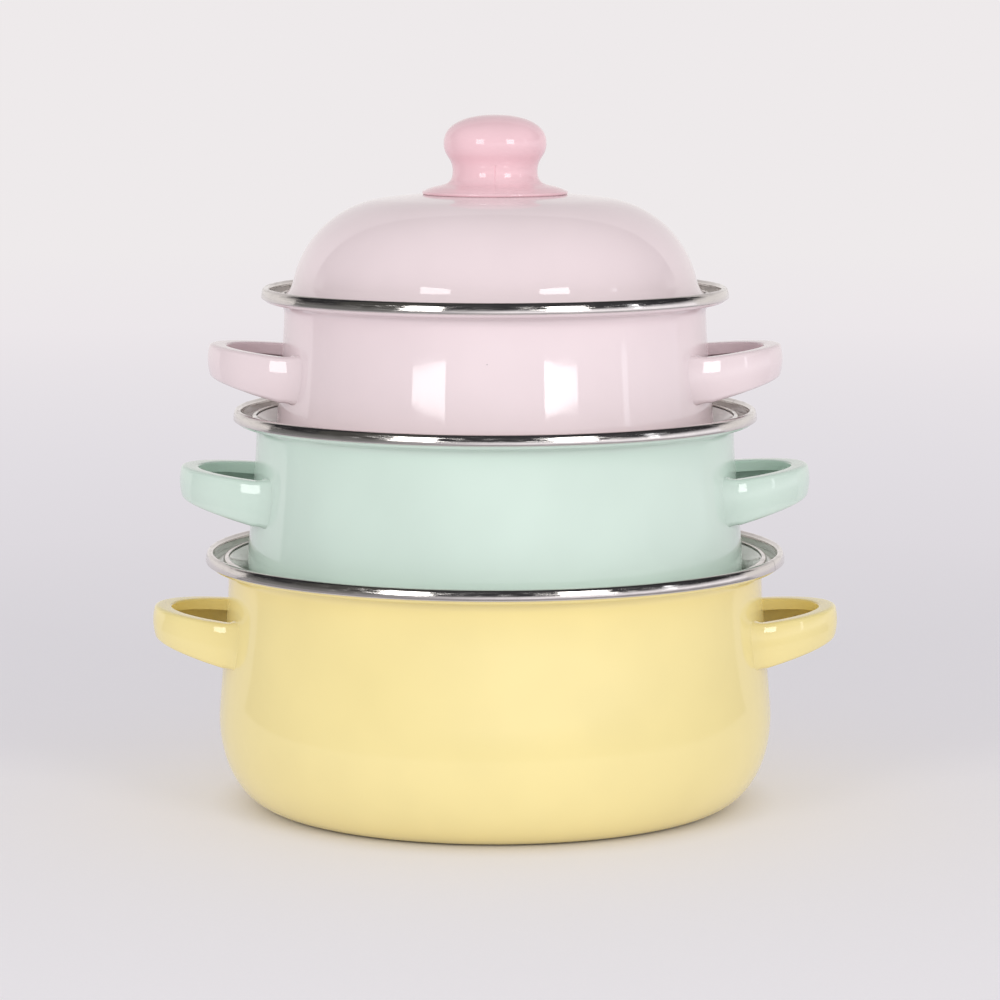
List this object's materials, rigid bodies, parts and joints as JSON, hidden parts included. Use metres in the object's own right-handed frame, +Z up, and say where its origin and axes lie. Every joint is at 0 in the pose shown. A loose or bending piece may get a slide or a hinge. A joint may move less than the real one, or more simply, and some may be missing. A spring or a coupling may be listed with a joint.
{
  "type": "nested enamel pot set",
  "caption": "Stack of nested enamelled steel pots with loop handles and steel rims. Lower lids lie upside down and seat the pot above, and a domed lid with a knob closes the top.",
  "frame": {"origin": "middle of the largest pot's base, on the surface that the stack stands on", "axes": "+Z up along the pots' shared axis, X through the largest pot's handles, -Y towards the viewer of the picture"},
  "size_m": [0.2398, 0.202, 0.2394],
  "materials": {
    "yellow_enamel": "gloss",
    "mint_enamel": "gloss",
    "pink_enamel": "gloss",
    "rim_steel": "polished",
    "yellow_plastic": "gloss",
    "mint_plastic": "gloss",
    "pink_plastic": "gloss",
    "zinc_steel": "satin"
  },
  "bodies": {
    "yellow_pot": {"yellow_pot_body": "yellow_enamel", "yellow_rim_band": "rim_steel", "yellow_handle_left": "yellow_enamel", "yellow_handle_right": "yellow_enamel"},
    "yellow_lid": {"yellow_lid_shell": "yellow_enamel", "yellow_lid_band": "rim_steel", "yellow_knob": "yellow_plastic", "yellow_knob_screw": "zinc_steel", "yellow_knob_washer": "zinc_steel"},
    "mint_pot": {"mint_pot_body": "mint_enamel", "mint_rim_band": "rim_steel", "mint_handle_left": "mint_enamel", "mint_handle_right": "mint_enamel"},
    "mint_lid": {"mint_lid_shell": "mint_enamel", "mint_lid_band": "rim_steel", "mint_knob": "mint_plastic", "mint_knob_screw": "zinc_steel", "mint_knob_washer": "zinc_steel"},
    "pink_pot": {"pink_pot_body": "pink_enamel", "pink_rim_band": "rim_steel", "pink_handle_left": "pink_enamel", "pink_handle_right": "pink_enamel"},
    "pink_lid": {"pink_lid_shell": "pink_enamel", "pink_lid_band": "rim_steel", "pink_knob": "pink_plastic", "pink_knob_screw": "zinc_steel", "pink_knob_washer": "zinc_steel"}
  },
  "joints": [
    {"name": "yellow_lid_lift", "type": "slide", "parent": "yellow_pot", "child": "yellow_lid", "axis": [0, 0, 1], "range_m": [0, 0.09]},
    {"name": "mint_pot_lift", "type": "slide", "parent": "yellow_lid", "child": "mint_pot", "axis": [0, 0, 1], "range_m": [0, 0.06]},
    {"name": "mint_lid_lift", "type": "slide", "parent": "mint_pot", "child": "mint_lid", "axis": [0, 0, 1], "range_m": [0, 0.085]},
    {"name": "pink_pot_lift", "type": "slide", "parent": "mint_lid", "child": "pink_pot", "axis": [0, 0, 1], "range_m": [0, 0.055]},
    {"name": "pink_lid_lift", "type": "slide", "parent": "pink_pot", "child": "pink_lid", "axis": [0, 0, 1], "range_m": [0, 0.08]}
  ]
}
